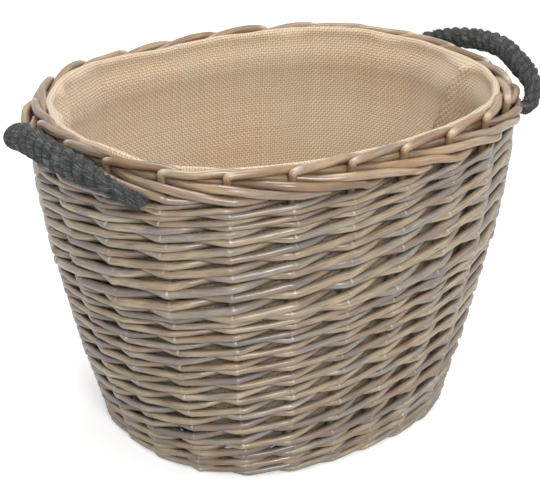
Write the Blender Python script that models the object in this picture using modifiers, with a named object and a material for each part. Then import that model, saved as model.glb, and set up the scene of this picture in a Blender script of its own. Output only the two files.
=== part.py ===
"""Oval log carrier of woven willow, with a hessian liner and two rope handles.

Twenty-four stakes stand round an oval stick base. Each runs up the wall and is
bent over at the top, to the next stakes, as its own share of the border. The
wall between them is three-rod wale: every rod passes in front of two stakes
and behind the third. Lengths are metres, +Z is up, the long axis is X, and the
origin lies on the floor under the middle of the basket.
"""
import math

import bmesh
import bpy
from mathutils import Vector

# Overall sizes
HEIGHT = 0.410
TOP_LENGTH = 0.600
TOP_WIDTH = 0.490
BASE_LENGTH = 0.430
BASE_WIDTH = 0.370
OVAL_POWER = 2.4          # 2 is an ellipse, more is squarer
WALL_SWELL = 0.70         # 0 is a straight taper, more is fuller low down
FIT_GAP = 0.0005          # room left between rods that touch
ZONE_CLOSER = 0.0004      # how much closer the zones of the wale sit to each other

# Stakes, numbered from the middle of the back, left end first
STAKE_COUNT = 24
STAKE_DIAMETER = 0.009
WALL_KNOTS = 4            # straight runs that make up the curved wall
FOOT_LENGTH = 0.024       # from the heel inwards, under the base
HEEL_BEND = 0.010
HEEL_WEAR = 0.001         # depth of the flat worn under each heel
BEND_ROOM = 1.11          # rods cross the stakes at a slant, so they need more room

# Border: one path for every stake, counted in stakes passed. Each step is
# (stakes passed, rods outwards, rows down) from the top of the stake.
BORDER_ROW = 0.0105
BORDER_PATH = (
    (0.00, 0.00, 1.20),
    (0.05, -0.12, 0.58),
    (0.50, -0.55, 0.45),
    (1.00, -1.25, 0.55),
    (1.50, -1.22, 1.28),
    (2.00, -1.24, 1.52),
    (2.50, 0.00, 1.74),
    (3.00, 1.10, 1.70),
    (3.50, 1.10, 2.20),
    (4.00, 1.10, 2.70),
    (4.20, 0.95, 2.92),
    (4.45, 0.15, 3.15),
)

# Wale zones from the floor up: name, rod diameter, rounds. The rounds of the
# zone marked None are worked out from the height that is left.
WALE_ZONES = (
    ("upsett", 0.0084, 1),
    ("lower_wale", 0.0061, None),
    ("upper_wale", 0.0083, 5),
    ("top_wale", 0.0066, 1),
)
STRANDS = 3
STEP_UP_STAKES = 3        # stakes at the back over which a round climbs
WALE_END = 0.6            # share of the last space that a single round's rod fills
UPSETT_CLEARANCE = 0.0004  # under the lowest rods

# Base: long sticks through slits in the cross sticks, woven round by two rods.
# The ends of the sticks point at the stakes, so their numbers follow from them.
CROSS_STICKS = 7
CROSS_STICK_DIAMETER = 0.011
CROSS_STICK_SPACING = 0.027
LONG_STICKS = 5
LONG_STICK_DIAMETER = 0.0065
LONG_STICK_SPACING = 0.0080
SLIT_GAP = 0.0004
STICK_END_ROOM = 0.0035   # from the end of a stick to the weave of the wall
STICK_REST_GAP = 0.0003   # between a cross stick and the feet under it
BASE_ROD_DIAMETER = 0.0052
BASE_RINGS = 6
CROSS_FIRST_RING = 0.08   # share of the stick's free end
LONG_FIRST_RING = 0.28

# Rope handles: two windows each, counted in stakes from the middle of an end
ROPE_DIAMETER = 0.028
ROPE_WAIST = 0.013        # where it is squeezed through the weave
ROPE_TAPER = 0.030
LEFT_WINDOWS = (-1.75, 1.75)
RIGHT_WINDOWS = (-2.20, 1.28)
LEFT_REST_ANGLE = 36.0    # degrees above level, as photographed
RIGHT_REST_ANGLE = 37.0
WINDOW_PLACE = 0.28       # share of the space between stakes; a rod before it is cut short
ROPE_AXIS_OUT = 0.0245    # from the stakes out to the swing axis
TAIL_GAP = 0.0001         # beside the stakes, whose flats leave a little more
TAIL_RUN = 0.060
TAIL_BEND = 0.014
LOOP_DEPTH = 0.058
LOOP_ROUTE = (            # share of the way between the windows, share of the depth
    (0.000, 0.00),
    (0.005, 0.14),
    (0.035, 0.33),
    (0.100, 0.54),
    (0.190, 0.71),
    (0.290, 0.84),
    (0.400, 0.96),
    (0.510, 1.00),
    (0.620, 0.94),
    (0.725, 0.82),
    (0.815, 0.67),
    (0.890, 0.54),
    (0.955, 0.33),
    (0.990, 0.17),
    (1.000, 0.00),
)

# Hessian liner
LINER_THICKNESS = 0.002
LINER_COLUMNS = 48
LINER_TOP_DROP = 0.003
LINER_HEM_IN = 0.0165     # from the stakes in to the liner, at the border
LINER_ROPE_IN = 0.0200    # beside the rope tails
LINER_WALL_IN = 0.0150    # beside the wale
LINER_FLOOR_GAP = 0.0012  # the rods stand a little proud where they bend
LINER_CORNER = 0.020
LINER_FOLDS = (           # place in stakes, depth, half width in stakes
    (17.2, 0.009, 0.55),
    (19.4, 0.006, 0.60),
    (8.6, 0.006, 0.45),
    (2.6, 0.005, 0.80),
)

PART_NAME = "log_carrier"


def wall_share(height):
    """Share of the flare that the wall has reached at a height."""
    run = min(max(height / HEIGHT, 0.0), 1.0) * WALL_KNOTS
    low = min(int(run), WALL_KNOTS - 1)
    shares = []
    for knot in (low, low + 1):
        t = knot / WALL_KNOTS
        shares.append((1.0 + WALL_SWELL) * t - WALL_SWELL * t * t)
    return shares[0] + (shares[1] - shares[0]) * (run - low)


def wale_reach(diameter):
    """From a stake's axis to the axis of a rod that passes it."""
    return ((STAKE_DIAMETER + diameter) / 2 + FIT_GAP) * BEND_ROOM


def half_sizes(height):
    """Half length and half width of the line of stakes at a height."""
    border_out = (max(step[1] for step in BORDER_PATH) + 0.5) * STAKE_DIAMETER
    base_out = wale_reach(WALE_ZONES[0][1]) + WALE_ZONES[0][1] / 2
    share = wall_share(height)
    halves = []
    for base, top in ((BASE_LENGTH, TOP_LENGTH), (BASE_WIDTH, TOP_WIDTH)):
        low = base / 2 - base_out
        high = top / 2 - border_out
        halves.append(low + (high - low) * share)
    return halves


def oval_point(angle, half_length, half_width):
    cosine = math.cos(angle)
    sine = math.sin(angle)
    return Vector((
        half_length * math.copysign(abs(cosine) ** (2 / OVAL_POWER), cosine),
        half_width * math.copysign(abs(sine) ** (2 / OVAL_POWER), sine),
        0.0,
    ))


def stake_angles(samples=2880):
    """Angles that space the stakes evenly round the top, from the back."""
    half_length, half_width = half_sizes(HEIGHT)
    angles = [math.pi / 2 + 2 * math.pi * i / samples for i in range(samples + 1)]
    points = [oval_point(a, half_length, half_width) for a in angles]
    walked = [0.0]
    for before, after in zip(points, points[1:]):
        walked.append(walked[-1] + (after - before).length)
    found = []
    place = 0
    for i in range(STAKE_COUNT * 20 + 1):
        wanted = walked[-1] * i / (STAKE_COUNT * 20)
        while place < samples - 1 and walked[place + 1] < wanted:
            place += 1
        step = (wanted - walked[place]) / (walked[place + 1] - walked[place])
        found.append(angles[place] + (angles[place + 1] - angles[place]) * step)
    return found


ANGLE_TABLE = stake_angles()


def angle_at(stake):
    """Angle of a place counted in stakes; whole numbers are stakes."""
    run = (stake % STAKE_COUNT) * 20
    low = int(run)
    turn = ANGLE_TABLE[low]
    return turn + (ANGLE_TABLE[min(low + 1, len(ANGLE_TABLE) - 1)] - turn) * (run - low)


def outward(stake, height):
    """Level direction straight out of the wall."""
    half_length, half_width = half_sizes(height)
    p = oval_point(angle_at(stake), half_length, half_width)
    power = OVAL_POWER - 1
    return Vector((
        math.copysign(abs(p.x / half_length) ** power / half_length, p.x),
        math.copysign(abs(p.y / half_width) ** power / half_width, p.y),
        0.0,
    )).normalized()


def ring_point(stake, out, height):
    """A point beside the line of stakes, out from it on the level."""
    half_length, half_width = half_sizes(height)
    p = oval_point(angle_at(stake), half_length, half_width)
    p += outward(stake, height) * out
    p.z = height
    return p


def stake_point(stake, height):
    return ring_point(stake, 0.0, height)


def wall_normal(stake, height):
    """Direction square to the stake, out of the wall."""
    span = HEIGHT / WALL_KNOTS
    low = min(int(max(height, 0.0) / span), WALL_KNOTS - 1) * span
    rise = (stake_point(stake, low + span) - stake_point(stake, low)).normalized()
    out = outward(stake, height)
    return (out - rise * out.dot(rise)).normalized()


def crossing_lift(diameter, spacing):
    """How far a rod's axis must clear a stick's where it weaves between sticks."""
    touch = (diameter + BASE_ROD_DIAMETER) / 2 + FIT_GAP
    slant = min(2 * touch / spacing, 0.8)
    return touch / math.sqrt(1 - slant * slant)


# Heights that the pieces share
HEEL_HEIGHT = STAKE_DIAMETER / 2 - HEEL_WEAR
WINDOW_DROP = (
    (BORDER_PATH[7][2] + WINDOW_PLACE * (BORDER_PATH[9][2] - BORDER_PATH[7][2])) * BORDER_ROW
    + STAKE_DIAMETER / 2 + FIT_GAP + ROPE_WAIST / 2
)
WINDOW_HEIGHT = HEIGHT - WINDOW_DROP
WALE_TOP = WINDOW_HEIGHT - ROPE_WAIST / 2 - FIT_GAP
BASE_LIFT = crossing_lift(CROSS_STICK_DIAMETER, CROSS_STICK_SPACING)
BASE_HEIGHT = BASE_LIFT + BASE_ROD_DIAMETER / 2 + FIT_GAP
STICK_FLAT = CROSS_STICK_DIAMETER / 2 * math.cos(math.pi / 8)
FOOT_HEIGHT = BASE_HEIGHT - STICK_FLAT - STICK_REST_GAP - STAKE_DIAMETER / 2
FOOT_TOP = FOOT_HEIGHT + STAKE_DIAMETER / 2


def wale_layout():
    """Name, rod diameter, rounds, lowest axis height and round pitch by zone."""
    first = WALE_ZONES[0][1]
    steepest = -wall_normal(STAKE_COUNT // 4, first).z
    lowest = first / 2 + UPSETT_CLEARANCE + steepest * wale_reach(first)
    room = WALE_TOP - WALE_ZONES[-1][1] / 2 - lowest
    fixed = 0.0
    bands = 0
    for number, (name, diameter, rounds) in enumerate(WALE_ZONES):
        if number:
            fixed += (WALE_ZONES[number - 1][1] + diameter) / 2
            bands += 1
        if rounds is None:
            free_diameter = diameter
            fixed -= diameter
            bands -= 1
        else:
            fixed += (STRANDS * rounds - 1) * diameter
            bands += STRANDS * rounds - 1
    per_round = STRANDS * (free_diameter + FIT_GAP)
    free_rounds = max(1, int((room - fixed - bands * FIT_GAP) / per_round))
    bands += STRANDS * free_rounds
    fixed += STRANDS * free_rounds * free_diameter
    spare = (room - fixed) / bands
    zones = []
    height = lowest
    before = None
    for name, diameter, rounds in WALE_ZONES:
        if before is not None:
            height += (before + diameter) / 2 + spare - ZONE_CLOSER
        rounds = free_rounds if rounds is None else rounds
        pitch = STRANDS * (diameter + spare)
        zones.append((name, diameter, rounds, height, pitch))
        height += rounds * pitch - (diameter + spare)
        before = diameter
    return zones


def new_collection(name):
    collection = bpy.data.collections.new(name)
    bpy.context.scene.collection.children.link(collection)
    return collection


def material(name, colour, roughness, metallic=0.0):
    made = bpy.data.materials.new(name)
    made.use_nodes = True
    shader = made.node_tree.nodes["Principled BSDF"]
    shader.inputs["Base Color"].default_value = (*colour, 1.0)
    shader.inputs["Roughness"].default_value = roughness
    shader.inputs["Metallic"].default_value = metallic
    return made


def place(obj, collection, finish):
    for owner in list(obj.users_collection):
        owner.objects.unlink(obj)
    collection.objects.link(obj)
    obj.data.materials.clear()
    obj.data.materials.append(finish)
    return obj


def tube(name, points, diameter, collection, finish, sides=0, radii=None, level=False, origin=None):
    """A rod or rope along its points; sides is the bevel resolution."""
    curve = bpy.data.curves.new(name, "CURVE")
    curve.dimensions = "3D"
    curve.twist_mode = "Z_UP" if level else "MINIMUM"
    curve.bevel_depth = diameter / 2
    curve.bevel_resolution = sides
    curve.use_fill_caps = True
    spline = curve.splines.new("POLY")
    spline.points.add(len(points) - 1)
    origin = origin or Vector((0.0, 0.0, 0.0))
    for number, point in enumerate(points):
        spline.points[number].co = (*(Vector(point) - origin), 1.0)
        spline.points[number].radius = radii[number] if radii else 1.0
    obj = bpy.data.objects.new(name, curve)
    obj.location = origin
    return place(obj, collection, finish)


def as_mesh(obj):
    """The same piece as a mesh with its caps welded, ready to be cut."""
    bpy.context.view_layer.update()
    graph = bpy.context.evaluated_depsgraph_get()
    mesh = bpy.data.meshes.new_from_object(obj.evaluated_get(graph))
    mesh.name = obj.name
    shape = bmesh.new()
    shape.from_mesh(mesh)
    bmesh.ops.remove_doubles(shape, verts=shape.verts, dist=0.00001)
    bmesh.ops.recalc_face_normals(shape, faces=shape.faces)
    shape.to_mesh(mesh)
    shape.free()
    name = obj.name
    solid = bpy.data.objects.new(name + "_solid", mesh)
    solid.matrix_world = obj.matrix_world
    obj.users_collection[0].objects.link(solid)
    curve = obj.data
    bpy.data.objects.remove(obj)
    bpy.data.curves.remove(curve)
    solid.name = name
    return solid


def box_cutter(name, low, high, collection):
    """A box between two corners that only cuts."""
    centre = [(a + b) / 2 for a, b in zip(low, high)]
    bpy.ops.mesh.primitive_cube_add(size=1.0, location=centre)
    cutter = bpy.context.object
    cutter.name = name
    cutter.scale = [b - a for a, b in zip(low, high)]
    bpy.ops.object.transform_apply(location=False, rotation=False, scale=True)
    for owner in list(cutter.users_collection):
        owner.objects.unlink(cutter)
    collection.objects.link(cutter)
    cutter.hide_render = True
    cutter.display_type = "WIRE"
    return cutter


def cut(obj, cutter):
    modifier = obj.modifiers.new("cut", "BOOLEAN")
    modifier.operation = "DIFFERENCE"
    modifier.object = cutter
    return obj


def window_places():
    """Places of the rope windows, first and second for each handle."""
    left = round(STAKE_COUNT / 4)
    right = round(3 * STAKE_COUNT / 4)
    return (
        ("left", [left + step for step in LEFT_WINDOWS], LEFT_REST_ANGLE),
        ("right", [right + step for step in RIGHT_WINDOWS], RIGHT_REST_ANGLE),
    )


def border_end(stake):
    """Stakes passed by a border rod, cut short where it would meet a rope."""
    end = BORDER_PATH[-1][0]
    spacing = (stake_point(stake, HEIGHT) - stake_point(stake + 1, HEIGHT)).length
    room = (ROPE_WAIST / 2 + STAKE_DIAMETER / 2 + 3 * FIT_GAP) / spacing
    for _, windows, _ in window_places():
        for window in windows:
            passed = (window - stake) % STAKE_COUNT
            if 3 + WINDOW_PLACE < passed < end + room:
                end = passed - room
    return end


def border_points(stake):
    """The border's share of one stake, from its bend to its cut end."""
    end = border_end(stake)
    points = []
    before = None
    for passed, rods_out, rows_down in BORDER_PATH:
        if passed > end:
            share = (end - before[0]) / (passed - before[0])
            rods_out = before[1] + (rods_out - before[1]) * share
            rows_down = before[2] + (rows_down - before[2]) * share
            passed = end
        level = HEIGHT - rows_down * BORDER_ROW
        p = ring_point(stake + passed, rods_out * STAKE_DIAMETER, HEIGHT if passed else level)
        p.z = level
        points.append(p)
        if passed == end:
            break
        before = (passed, rods_out, rows_down)
    return points


def stake_points(stake):
    points = [
        ring_point(stake, -FOOT_LENGTH, FOOT_HEIGHT),
        ring_point(stake, -HEEL_BEND * 1.5, HEEL_HEIGHT),
        ring_point(stake, -HEEL_BEND * 0.4, HEEL_HEIGHT),
        stake_point(stake, HEEL_HEIGHT + HEEL_BEND * 0.6),
    ]
    for knot in range(1, WALL_KNOTS):
        points.append(stake_point(stake, HEIGHT * knot / WALL_KNOTS))
    return points + border_points(stake)


def make_stakes(collection, cutters, finish):
    reach = max(TOP_LENGTH, TOP_WIDTH)
    floor = box_cutter("floor_cutter", (-reach, -reach, -0.02), (reach, reach, 0.0), cutters)
    for stake in range(STAKE_COUNT):
        name = f"stake_{stake + 1:02d}"
        rod = tube(name, stake_points(stake), STAKE_DIAMETER, collection, finish)
        cut(as_mesh(rod), floor)


def wale_points(zone, strand):
    """One rod of a wale: a point at every stake that it passes.

    The rods of a single round meet their own starts. Longer ones end inside,
    behind the last stakes before the middle of the back.
    """
    _, diameter, rounds, lowest, pitch = zone
    lift = {0: 1 / 3, 1: 0.0, 2: 2 / 3}
    last = STAKE_COUNT * rounds - 1
    if rounds == 1:
        last += strand + 1
    else:
        last -= (last - strand) % STRANDS
    points = []
    for passed in range(strand, last + 1):
        phase = (passed - strand) % STRANDS
        done = min(passed // STAKE_COUNT, rounds - 1)
        climb = 0.0
        if done < rounds - 1:
            climb = max(0.0, (passed % STAKE_COUNT - STAKE_COUNT) / STEP_UP_STAKES + 1.0)
        height = lowest + pitch * (done + climb + lift[phase])
        side = -1.0 if phase == 0 else 1.0
        point = stake_point(passed, height)
        points.append(point + wall_normal(passed, height) * side * wale_reach(diameter))
    if rounds == 1:
        points[-1] = points[-2].lerp(points[-1], WALE_END)
    return points


def make_wale(collection, finish):
    for zone in wale_layout():
        for strand in range(STRANDS):
            name = f"{zone[0]}_rod_{strand + 1}"
            tube(name, wale_points(zone, strand), zone[1], collection, finish, level=True)


def slath_half_width():
    return ((LONG_STICKS - 1) * LONG_STICK_SPACING + LONG_STICK_DIAMETER) / 2 + SLIT_GAP


def stick_end(stake):
    """Where a base stick stops, just inside the weave of the wall."""
    first = WALE_ZONES[0][1]
    return ring_point(stake, -wale_reach(first) - first / 2 - STICK_END_ROOM, BASE_HEIGHT)


def cross_stick_points(number):
    """From the front end to the back end; the middle lies in the slath."""
    step = number - (CROSS_STICKS - 1) // 2
    x = step * CROSS_STICK_SPACING
    y = slath_half_width() + CROSS_STICK_DIAMETER / 2
    front = STAKE_COUNT // 2 + step
    return [
        stick_end(front),
        Vector((x, -y, BASE_HEIGHT)),
        Vector((x, y, BASE_HEIGHT)),
        stick_end(-step),
    ]


def long_stick_points(number):
    """From the left end to the right end, fanned beyond the cross sticks."""
    step = number - (LONG_STICKS - 1) // 2
    y = step * LONG_STICK_SPACING
    x = (CROSS_STICKS - 1) / 2 * CROSS_STICK_SPACING + CROSS_STICK_DIAMETER
    left = STAKE_COUNT // 4 - step
    right = STAKE_COUNT * 3 // 4 + step
    return [
        stick_end(left),
        Vector((-x, y, BASE_HEIGHT)),
        Vector((x, y, BASE_HEIGHT)),
        stick_end(right),
    ]


def spokes():
    """Inner and outer end, diameter and first ring of every stick end, going round."""
    found = []
    for number in range(CROSS_STICKS):
        points = cross_stick_points(number)
        found.append((points[1], points[0], CROSS_STICK_DIAMETER, CROSS_FIRST_RING))
        found.append((points[2], points[3], CROSS_STICK_DIAMETER, CROSS_FIRST_RING))
    for number in range(LONG_STICKS):
        points = long_stick_points(number)
        found.append((points[1], points[0], LONG_STICK_DIAMETER, LONG_FIRST_RING))
        found.append((points[2], points[3], LONG_STICK_DIAMETER, LONG_FIRST_RING))
    return sorted(found, key=lambda spoke: math.atan2(spoke[1].y, spoke[1].x))


def ring_place(spoke, share):
    """A point on a stick's free end; 0 is the first ring and 1 the last."""
    inner, outer, _, first = spoke
    length = (outer - inner).length
    last = 1 - (FOOT_LENGTH - STICK_END_ROOM) / length
    return inner + (outer - inner) * (first + (last - first) * share)


def base_rod_points(strand):
    """Over one stick and under the next; two rods take turns ring by ring."""
    ends = spokes()
    count = len(ends)
    points = []
    for ring in range(strand, BASE_RINGS, 2):
        for number, spoke in enumerate(ends):
            share = (ring + 2 * number / count) / (BASE_RINGS + 1)
            here = ring_place(spoke, share)
            room = min(
                (ring_place(ends[number - 1], share) - here).length,
                (ring_place(ends[(number + 1) % count], share) - here).length,
            )
            side = 1 if (number + strand) % 2 == 0 else -1
            lift = min(crossing_lift(spoke[2], room), BASE_LIFT)
            points.append(here + Vector((0.0, 0.0, side * lift)))
    return points


def make_base(collection, cutters, stick_finish, rod_finish):
    slit_y = slath_half_width()
    slit_z = LONG_STICK_DIAMETER / 2 + SLIT_GAP
    reach = BASE_LENGTH / 2
    low = (-reach, -slit_y, BASE_HEIGHT - slit_z)
    high = (reach, slit_y, BASE_HEIGHT + slit_z)
    slit = box_cutter("slit_cutter", low, high, cutters)
    for number in range(CROSS_STICKS):
        name = f"base_cross_stick_{number + 1}"
        stick = tube(name, cross_stick_points(number), CROSS_STICK_DIAMETER, collection,
                     stick_finish, sides=1, level=True)
        cut(as_mesh(stick), slit)
    for number in range(LONG_STICKS):
        name = f"base_long_stick_{number + 1}"
        tube(name, long_stick_points(number), LONG_STICK_DIAMETER, collection, stick_finish,
             level=True)
    for strand in range(2):
        name = f"base_rod_{strand + 1}"
        tube(name, base_rod_points(strand), BASE_ROD_DIAMETER, collection, rod_finish, level=True)


def smooth_route(points, steps):
    """A smooth curve through the points, with even steps between them."""
    route = []
    padded = [points[0] * 2 - points[1]] + list(points) + [points[-1] * 2 - points[-2]]
    for i in range(1, len(padded) - 2):
        a, b, c, d = padded[i - 1:i + 3]
        for step in range(steps):
            t = step / steps
            route.append(0.5 * (
                2 * b + (c - a) * t + (2 * a - 5 * b + 4 * c - d) * t * t
                + (3 * b - a - 3 * c + d) * t ** 3
            ))
    route.append(points[-1].copy())
    return route


def axis_point(window):
    return ring_point(window, ROPE_AXIS_OUT, WINDOW_HEIGHT)


def loop_points(windows, angle):
    """Axis line and route of a handle, lifted by its angle above level."""
    first = axis_point(windows[0])
    second = axis_point(windows[1])
    along = second - first
    out = Vector((-along.y, along.x, 0.0)).normalized()
    if out.dot(first + second) < 0:
        out = -out
    rise = math.radians(angle)
    reach = out * math.cos(rise) + Vector((0.0, 0.0, math.sin(rise)))
    route = [first + along * share + reach * LOOP_DEPTH * depth for share, depth in LOOP_ROUTE]
    return first, second, smooth_route(route, 2)


def rounded_ends(route, radius):
    """The route with a domed end round each axis point, and its radii."""
    full = ROPE_DIAMETER / 2
    walked = [0.0]
    for a, b in zip(route, route[1:]):
        walked.append(walked[-1] + (b - a).length)
    points = []
    radii = []
    start = (route[0] - route[1]).normalized()
    stop = (route[-1] - route[-2]).normalized()
    domes = [math.radians(80), math.radians(50), math.radians(25)]
    for turn in domes:
        points.append(route[0] + start * radius * math.sin(turn))
        radii.append(radius * math.cos(turn))
    for point, at in zip(route, walked):
        share = min(1.0, min(at, walked[-1] - at) / ROPE_TAPER)
        points.append(point)
        radii.append(radius + (full - radius) * share)
    for turn in reversed(domes):
        points.append(route[-1] + stop * radius * math.sin(turn))
        radii.append(radius * math.cos(turn))
    return points, [r / full for r in radii]


def tail_points(window, turn):
    """From the axis through the window, then along inside the wall."""
    inside = (STAKE_DIAMETER + ROPE_WAIST) / 2 + TAIL_GAP
    start = ROPE_AXIS_OUT - ROPE_WAIST / 2 - FIT_GAP
    spacing = (stake_point(window, WINDOW_HEIGHT) - stake_point(window + 1, WINDOW_HEIGHT)).length
    path = [(0.0, start), (0.0, TAIL_BEND - inside), (0.3 * TAIL_BEND, 0.3 * TAIL_BEND - inside)]
    for step in range(4):
        path.append((TAIL_BEND + (TAIL_RUN - TAIL_BEND) * step / 3, -inside))
    return [ring_point(window + turn * along / spacing, out, WINDOW_HEIGHT) for along, out in path]


def make_handles(collection, finish):
    for side, windows, angle in window_places():
        first, second, route = loop_points(windows, angle)
        points, radii = rounded_ends(route, ROPE_WAIST / 2)
        middle = (first + second) / 2
        tube(f"{side}_handle_rope", points, ROPE_DIAMETER, collection, finish,
             sides=2, radii=radii, origin=middle)
        for label, window, turn in (("first", windows[0], -1), ("second", windows[1], 1)):
            tube(f"{side}_rope_tail_{label}", tail_points(window, turn), ROPE_WAIST,
                 collection, finish, sides=1)


def liner_inset(height):
    """How far the liner hangs in from the line of stakes."""
    below = HEIGHT - height
    rope_top = WINDOW_DROP - ROPE_WAIST / 2
    rope_bottom = WINDOW_DROP + ROPE_WAIST / 2
    steps = (
        (0.0, LINER_HEM_IN),
        (rope_top * 0.55, LINER_HEM_IN),
        (rope_top * 0.92, LINER_ROPE_IN),
        (rope_bottom + 0.004, LINER_ROPE_IN),
        (rope_bottom + 0.045, LINER_WALL_IN),
        (HEIGHT, LINER_WALL_IN),
    )
    for (drop_a, inset_a), (drop_b, inset_b) in zip(steps, steps[1:]):
        if below <= drop_b:
            share = (below - drop_a) / (drop_b - drop_a)
            return inset_a + (inset_b - inset_a) * share
    return LINER_WALL_IN


def fold_depth(stake, height):
    """Depth of the hanging folds, which fade out towards the floor."""
    depth = 0.0
    fade = min(1.0, max(0.0, height / HEIGHT - 0.15) / 0.5)
    for centre, fold, half_width in LINER_FOLDS:
        away = abs((stake - centre + STAKE_COUNT / 2) % STAKE_COUNT - STAKE_COUNT / 2)
        if away < half_width:
            depth += fold * fade * (0.5 + 0.5 * math.cos(math.pi * away / half_width))
    return depth


def base_top():
    """Height of the highest point of the base's weave."""
    points = base_rod_points(0) + base_rod_points(1)
    return max(point.z for point in points) + BASE_ROD_DIAMETER / 2


def liner_loops():
    """Closed rings of the liner's outside, from the hem to the floor."""
    top = HEIGHT - LINER_TOP_DROP
    floor = base_top() + LINER_FLOOR_GAP
    rope_top = WINDOW_HEIGHT + ROPE_WAIST / 2
    rope_bottom = WINDOW_HEIGHT - ROPE_WAIST / 2
    heights = [top, rope_top + 0.012, rope_top + 0.002, rope_bottom - 0.004, rope_bottom - 0.045]
    low = floor + LINER_CORNER
    runs = 3
    for step in range(1, runs + 1):
        heights.append(heights[4] + (low - heights[4]) * step / runs)
    loops = []
    for height in heights:
        loop = []
        for column in range(LINER_COLUMNS):
            stake = column * STAKE_COUNT / LINER_COLUMNS
            inset = liner_inset(height) + fold_depth(stake, height)
            loop.append(ring_point(stake, -inset, height))
        loops.append(loop)
    for drop, inset in ((0.7, 0.3), (1.0, 1.0)):
        loop = []
        for column in range(LINER_COLUMNS):
            stake = column * STAKE_COUNT / LINER_COLUMNS
            height = low - LINER_CORNER * drop
            loop.append(ring_point(stake, -LINER_WALL_IN - LINER_CORNER * inset, height))
        loops.append(loop)
    for share in (0.6, 0.25):
        loops.append([Vector((p.x * share, p.y * share, floor)) for p in loops[9]])
    return loops


def make_liner(collection, finish):
    """Quads between the rings, facing out, then a floor; Solidify adds the cloth."""
    shape = bmesh.new()
    rings = [[shape.verts.new(point) for point in loop] for loop in liner_loops()]
    for upper, lower in zip(rings, rings[1:]):
        for i, vert in enumerate(upper):
            shape.faces.new((vert, upper[i - 1], lower[i - 1], lower[i]))
    shape.faces.new(reversed(rings[-1]))
    shape.normal_update()
    mesh = bpy.data.meshes.new("hessian_liner")
    shape.to_mesh(mesh)
    shape.free()
    obj = bpy.data.objects.new("hessian_liner", mesh)
    place(obj, collection, finish)
    wall = obj.modifiers.new("cloth", "SOLIDIFY")
    wall.thickness = LINER_THICKNESS
    wall.offset = -1.0
    mesh.shade_smooth()
    return obj


def main():
    for obj in list(bpy.data.objects):
        bpy.data.objects.remove(obj)
    parts = new_collection(PART_NAME)
    cutters = new_collection(PART_NAME + "_cutters")
    border_willow = material("border_willow", (0.42, 0.29, 0.16), 0.45)
    wale_willow = material("wale_willow", (0.30, 0.25, 0.18), 0.5)
    base_willow = material("base_willow", (0.33, 0.25, 0.16), 0.6)
    hessian = material("hessian", (0.50, 0.38, 0.24), 0.95)
    rope = material("charcoal_rope", (0.06, 0.065, 0.07), 0.95)
    make_stakes(parts, cutters, border_willow)
    make_wale(parts, wale_willow)
    make_base(parts, cutters, base_willow, wale_willow)
    make_handles(parts, rope)
    make_liner(parts, hessian)


main()
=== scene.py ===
# Oval log carrier: willow rods woven round 24 stakes, a hessian liner and two rope
# handles. Round, tapered rods stand here for the CAD's solids. They follow the same oval
# and the same stakes, and each rod of the siding is shown as several shorter ones.
import math
import random

import bpy
import numpy as np
from mathutils import Matrix, Vector


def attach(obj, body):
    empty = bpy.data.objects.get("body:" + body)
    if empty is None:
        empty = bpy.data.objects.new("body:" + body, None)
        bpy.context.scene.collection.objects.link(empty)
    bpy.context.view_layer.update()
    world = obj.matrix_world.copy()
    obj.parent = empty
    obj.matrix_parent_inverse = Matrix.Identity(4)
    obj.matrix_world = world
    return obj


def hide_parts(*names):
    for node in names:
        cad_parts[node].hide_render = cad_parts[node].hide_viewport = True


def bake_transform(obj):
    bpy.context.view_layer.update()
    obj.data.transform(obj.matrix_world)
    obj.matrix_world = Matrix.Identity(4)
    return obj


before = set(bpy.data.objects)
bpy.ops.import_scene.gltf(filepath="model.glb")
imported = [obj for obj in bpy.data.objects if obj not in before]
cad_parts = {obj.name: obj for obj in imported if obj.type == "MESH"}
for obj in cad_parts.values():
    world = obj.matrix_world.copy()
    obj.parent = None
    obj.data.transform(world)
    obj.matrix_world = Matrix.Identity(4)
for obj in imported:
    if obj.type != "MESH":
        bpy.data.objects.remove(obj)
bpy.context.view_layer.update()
bpy.ops.object.select_all(action="DESELECT")

# The basket's own sizes, as in the CAD source
HEIGHT = 0.410
TOP_LENGTH = 0.600
TOP_WIDTH = 0.490
BASE_LENGTH = 0.430
BASE_WIDTH = 0.370
OVAL_POWER = 2.4
WALL_SWELL = 0.70
FIT_GAP = 0.0005          # between a stake and the rods that pass it
STAKE_COUNT = 24
STEPS_PER_STAKE = 20      # places between two stakes where the oval is measured
STAKE_DIAMETER = 0.009
WALL_KNOTS = 4            # straight runs that make up the wall's swell
FOOT_LENGTH = 0.024       # of a stake, under the base
HEEL_BEND = 0.010         # where the foot turns up into the wall
HEEL_HEIGHT = 0.0035
BEND_ROOM = 1.11          # a bent rod's line lies this much further out
BORDER_ROW = 0.0105       # height of a row of the border
BORDER_PATH = (           # stakes passed, rods outwards, rows down
    (0.00, 0.00, 1.20),
    (0.05, -0.12, 0.58),
    (0.50, -0.55, 0.45),
    (1.00, -1.25, 0.55),
    (1.50, -1.22, 1.28),
    (2.00, -1.24, 1.52),
    (2.50, 0.00, 1.74),
    (3.00, 1.10, 1.70),
    (3.50, 1.10, 2.20),
    (4.00, 1.10, 2.70),
    (4.20, 0.95, 2.92),
    (4.45, 0.15, 3.15),
    (4.62, -0.40, 3.22),
)
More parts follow.
